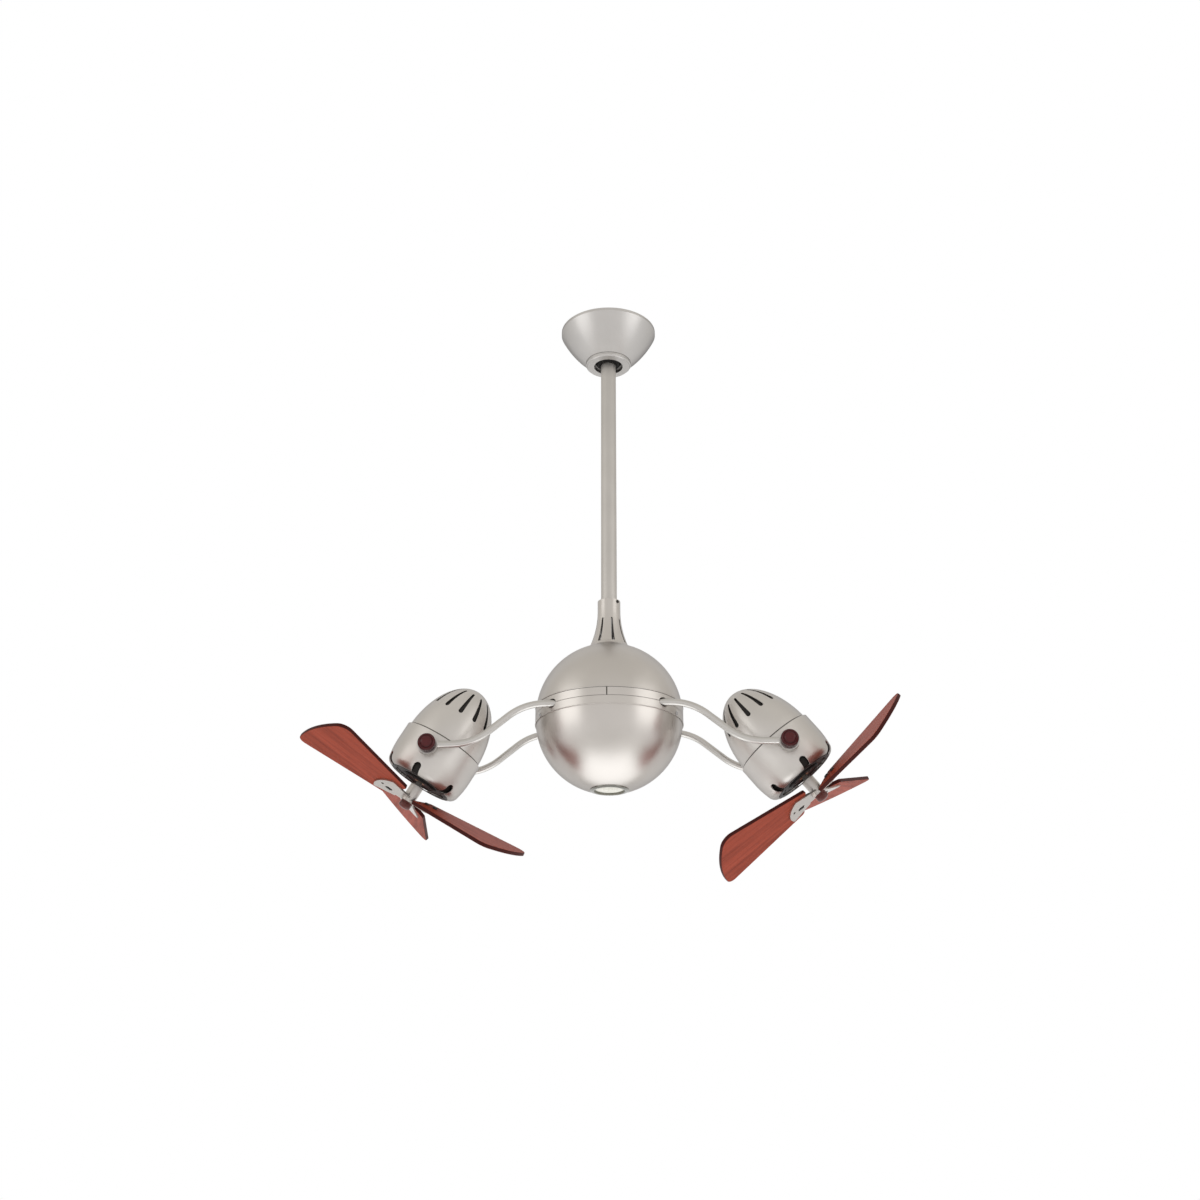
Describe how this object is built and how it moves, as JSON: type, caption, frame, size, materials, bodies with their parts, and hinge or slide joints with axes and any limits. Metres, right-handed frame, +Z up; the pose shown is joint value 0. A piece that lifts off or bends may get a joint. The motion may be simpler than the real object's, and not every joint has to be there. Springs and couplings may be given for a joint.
{
  "type": "ceiling fan with tilting heads",
  "caption": "Ceiling fan: a down rod carries a turning ball, from which bent arms hold tilting egg-shaped motor heads with wooden blades; a lamp sits under the ball.",
  "frame": {"origin": "middle of the ceiling plane, midway between the two ceiling-box screws, on the rod's axis", "axes": "+Z up out of the ceiling face, X along the two heads and the ceiling-box screws, -Y to the side that the picture shows"},
  "size_m": [0.9339, 0.3908, 0.9958],
  "materials": {
    "satin_nickel": "spun aluminium with a warm satin nickel finish",
    "nickel_tube": "steel tube with a warm satin nickel finish",
    "steel": "plain zinc-plated steel",
    "cast_plate": "bare cast aluminium",
    "black_nylon": "black moulded nylon",
    "black_steel": "blackened steel",
    "contact_brass": "turned brass",
    "lamp_socket": "white moulded lamp socket",
    "lamp_glass": "frosted reflector lamp",
    "case_nickel": "spun aluminium with a warm satin nickel finish",
    "motor_black": "dark enamelled aluminium",
    "motor_iron": "laminated iron",
    "bush_bronze": "sintered bronze",
    "blade_iron": "pressed steel, nickel plated",
    "mahogany": "lacquered mahogany ply",
    "dark_knob": "turned dark red wood, lacquered",
    "hub_cap": "turned red-brown wood, lacquered"
  },
  "bodies": {
    "ceiling_mount": {"hanger_bracket": "steel", "canopy": "satin_nickel", "canopy_trim_ring": "satin_nickel", "canopy_screws": "steel"},
    "hanging_rod": {"hanger_ball": "black_nylon", "downrod": "nickel_tube", "rod_pins": "steel", "neck_cover": "satin_nickel", "neck_set_screw": "black_steel", "spindle": "steel", "spindle_nut": "steel", "spindle_bearing_inner": "steel", "slip_rings": "contact_brass"},
    "carousel": {"upper_shell": "satin_nickel", "equator_belt": "satin_nickel", "lower_shell": "satin_nickel", "shell_screws": "steel", "arm_carrier": "cast_plate", "arm_clamp_screws": "steel", "spindle_bearing_outer": "steel", "spindle_bearing_balls": "steel", "brush_block": "black_nylon", "lamp_holder": "lamp_socket", "lamp": "lamp_glass", "lamp_trim_ring": "black_steel", "right_front_arm": "nickel_tube", "right_rear_arm": "nickel_tube", "left_rear_arm": "nickel_tube", "left_front_arm": "nickel_tube"},
    "left_head": {"left_rear_case": "case_nickel", "left_front_case": "case_nickel", "left_motor_can": "motor_black", "left_stator": "motor_iron", "left_motor_bushes": "bush_bronze", "left_pivot_studs": "steel"},
    "left_rotor": {"left_armature": "motor_iron", "left_blade_spider": "blade_iron", "left_blade_screws": "black_steel", "left_hub_nut": "hub_cap", "left_blade_1": "mahogany", "left_blade_2": "mahogany", "left_blade_3": "mahogany"},
    "left_front_clamp": {"left_front_knob": "dark_knob"},
    "left_rear_clamp": {"left_rear_knob": "dark_knob"},
    "right_head": {"right_rear_case": "case_nickel", "right_front_case": "case_nickel", "right_motor_can": "motor_black", "right_stator": "motor_iron", "right_motor_bushes": "bush_bronze", "right_pivot_studs": "steel"},
    "right_rotor": {"right_armature": "motor_iron", "right_blade_spider": "blade_iron", "right_blade_screws": "black_steel", "right_hub_nut": "hub_cap", "right_blade_1": "mahogany", "right_blade_2": "mahogany", "right_blade_3": "mahogany"},
    "right_front_clamp": {"right_front_knob": "dark_knob"},
    "right_rear_clamp": {"right_rear_knob": "dark_knob"}
  },
  "joints": [
    {"name": "rod_swing", "type": "hinge", "parent": "ceiling_mount", "child": "hanging_rod", "pos_m": [0, 0, -0.048], "axis": [0, 1, 0], "range_deg": [-20, 20]},
    {"name": "carousel_spin", "type": "hinge", "parent": "hanging_rod", "child": "carousel", "pos_m": [0, 0, -0.732], "axis": [0, 0, 1], "continuous": true},
    {"name": "left_tilt", "type": "hinge", "parent": "carousel", "child": "left_head", "pos_m": [-0.282, 0, -0.797], "axis": [0, 1, 0], "range_deg": [-30.9, 84.1]},
    {"name": "left_rotor_spin", "type": "hinge", "parent": "left_head", "child": "left_rotor", "pos_m": [-0.31959, 0, -0.85981], "axis": [-0.5135, 0, -0.8581], "continuous": true},
    {"name": "left_front_knob_turn", "type": "hinge", "parent": "left_head", "child": "left_front_clamp", "pos_m": [-0.282, -0.0873, -0.797], "axis": [0, -1, 0], "range_deg": [0, 360]},
    {"name": "left_rear_knob_turn", "type": "hinge", "parent": "left_head", "child": "left_rear_clamp", "pos_m": [-0.282, 0.0873, -0.797], "axis": [0, 1, 0], "range_deg": [0, 360]},
    {"name": "right_tilt", "type": "hinge", "parent": "carousel", "child": "right_head", "pos_m": [0.282, 0, -0.797], "axis": [0, -1, 0], "range_deg": [-38.9, 76.1]},
    {"name": "right_rotor_spin", "type": "hinge", "parent": "right_head", "child": "right_rotor", "pos_m": [0.32797, 0, -0.85397], "axis": [0.628, 0, -0.7782], "continuous": true},
    {"name": "right_front_knob_turn", "type": "hinge", "parent": "right_head", "child": "right_front_clamp", "pos_m": [0.282, -0.0873, -0.797], "axis": [0, -1, 0], "range_deg": [0, 360]},
    {"name": "right_rear_knob_turn", "type": "hinge", "parent": "right_head", "child": "right_rear_clamp", "pos_m": [0.282, 0.0873, -0.797], "axis": [0, 1, 0], "range_deg": [0, 360]}
  ]
}
